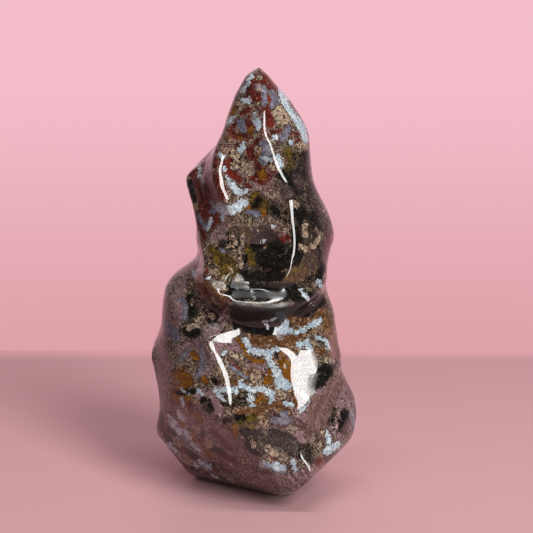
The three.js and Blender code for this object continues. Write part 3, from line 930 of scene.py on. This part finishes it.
def mineral(stone, name, under):
    """A mineral laid over the colour under it, in its own zones, with the painted light that some of
    them carry.
    """
    pale, deep, fleck, rim, ragged = LOOKS[name]
    inside = stone.depth(name, ragged)
    if name == "cream":
        fill = islands(stone)
    elif name == "lace":
        fill = lacework(stone)
    elif name in STREAKS:
        fill = streaked(stone, STREAKS[name], pale, deep, fleck)
    else:
        fill = mottled(stone, pale, deep, fleck)
    if not rim:
        return stone.mix(stone.edge(inside, BARE_EDGE_MM), under, fill)
    under = stone.blend(stone.math("ABSOLUTE", inside), RIM_RAMP_MM, under, srgb(*rim))
    return stone.mix(stone.edge(inside, RIMMED_EDGE_MM), under, fill)


ROUGHNESS = 0.035  # of the stone where its polish is best
COARSE_ROUGHNESS = 0.04  # how much more it has where it is coarse
COARSE_RAMP = (0.5, 0.7)  # what the mottle is there
DULLER = {"dull": 0.36, "worn": 0.15}  # and how much more in the zones of duller polish
DULL_EDGE_MM = 0.8  # half of how far those zones' edges are blurred
BUMP_STRENGTH = 0.012
BUMP_MM = 0.1
QUARTZ_IOR = 1.54


def polish(stone, shader):
    """A hand-rubbed polish: very smooth, and a little duller where the stone is coarse."""
    coarse = stone.times(stone.ramp(stone.mottle, COARSE_RAMP), COARSE_ROUGHNESS)
    rough = stone.math("ADD", coarse, ROUGHNESS)
    for kind, more in DULLER.items():
        there = stone.edge(stone.attribute(kind), DULL_EDGE_MM)
        rough = stone.math("ADD", rough, stone.times(there, more))
    stone.link(rough, shader.inputs["Roughness"])
    inputs = {"Height": stone.grain, "Strength": BUMP_STRENGTH, "Distance": BUMP_MM * MM}
    stone.link(stone.add("Bump", inputs)["Normal"], shader.inputs["Normal"])
    shader.inputs["IOR"].default_value = QUARTZ_IOR


def jasper():
    """The polished stone: its ground, the minerals over it in their order, and its seams."""
    material, stone, shader = new_material("jasper", Stone)
    colour = grounds(stone)
    for name in LOOKS:
        colour = mineral(stone, name, colour)
        if name == "mauve":
            colour = squiggles(stone, colour)
    stone.link(seams(stone, colour), shader.inputs["Base Color"])
    polish(stone, shader)
    return material


put_depths(flame.data)
flame.data.materials.append(jasper())
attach(flame, "root")
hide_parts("flame")

# ---- Studio: the floor ----

FLOOR_DEPTH = 0.226  # how far behind the stone the floor ends against the backdrop
FLOOR_SIZE = 3
FLOOR_FADE = 0.03  # how wide a strip along its far edge is painted paler: a painted glow where it meets the lit backdrop
FLOOR_ROUGHNESS = 0.6
BLUSH_PAINT = (0.54, 0.305, 0.318, 1)
EDGE_GLOW_PAINT = (0.75, 0.39, 0.43, 1)


def floor_paint():
    """A matt blush paint, with a painted glow along the floor's far edge where it meets the lit
    backdrop.
    """
    material, graph, shader = new_material("floor_paint", Graph)
    axes = graph.add("SeparateXYZ", {0: graph.add("TexCoord", {})["Object"]})
    far_edge = (FLOOR_SIZE / 2 - FLOOR_FADE, FLOOR_SIZE / 2)
    graph.link(graph.blend(axes["Y"], far_edge, BLUSH_PAINT, EDGE_GLOW_PAINT), shader.inputs["Base Color"])
    shader.inputs["Roughness"].default_value = FLOOR_ROUGHNESS
    return material


def studio_floor():
    bpy.ops.mesh.primitive_plane_add(size=FLOOR_SIZE, location=(0, FLOOR_DEPTH - FLOOR_SIZE / 2, 0))
    floor = bpy.context.object
    floor.name = "floor"
    floor.data.materials.append(floor_paint())
    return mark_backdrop(floor)


studio_floor()

# ---- Studio: the light ----

LIT_HEIGHT = 0.07  # height of the point in the stone that the softboxes face
SOFTBOX_DISTANCE = 1.2  # how far from it they stand


def softbox(name, azimuth, elevation, width, height, power):
    """A rectangular light that faces the stone from an azimuth and an elevation, in degrees."""
    turn, tilt = math.radians(azimuth), math.radians(elevation)
    away = Vector((math.cos(tilt) * math.sin(turn), -math.cos(tilt) * math.cos(turn), math.sin(tilt)))
    light = bpy.data.lights.new(name, "AREA")
    light.shape = "RECTANGLE"
    light.size = width
    light.size_y = height
    light.energy = power
    lamp = bpy.data.objects.new(name, light)
    lamp.location = Vector((0, 0, LIT_HEIGHT)) + SOFTBOX_DISTANCE * away
    lamp.rotation_euler = away.to_track_quat("Z", "Y").to_euler()
    bpy.context.scene.collection.objects.link(lamp)


softbox("key", azimuth=35, elevation=27.5, width=0.36, height=1, power=19.2)
softbox("top", azimuth=2, elevation=74, width=0.9, height=0.13, power=6.5)

BLUSH = (0.9, 0.51, 0.59, 1)
LOW_BLUSH = (0.73, 0.35, 0.39, 1)
DIM_ROOM = (0.10, 0.08, 0.08, 1)
LOW_TO_HIGH = (-0.24, 0.1)  # how far up a direction points where low blush turns to blush
ROOM_TO_SHEET = (0.2, 0.95)  # and how far away behind the stone where the room turns to the sheet


def backdrop():
    """A blush sheet of light behind the stone that fades to a dim room on the camera's side."""
    world = bpy.data.worlds.new("studio")
    world.use_nodes = True
    graph = Graph(world.node_tree)
    axes = graph.add("SeparateXYZ", {0: graph.add("TexCoord", {})["Generated"]})
    sheet = graph.blend(axes["Z"], LOW_TO_HIGH, LOW_BLUSH, BLUSH)
    shade = graph.blend(axes["Y"], ROOM_TO_SHEET, DIM_ROOM, sheet)
    graph.link(shade, world.node_tree.nodes["Background"].inputs["Color"])
    return world


bpy.context.scene.world = backdrop()

# ---- Camera ----

SENSOR_MM = 36

camera = bpy.data.objects.new("camera", bpy.data.cameras.new("camera"))
camera.data.sensor_width = SENSOR_MM
camera.data.lens = SENSOR_MM * PHOTO_FOCUS / (2 * PHOTO_MIDDLE)
camera.location = CAMERA_PLACE
camera.rotation_euler = (math.pi / 2 - CAMERA_PITCH, 0, 0)
bpy.context.scene.collection.objects.link(camera)
bpy.context.scene.camera = camera
bpy.context.scene.view_settings.view_transform = "Standard"
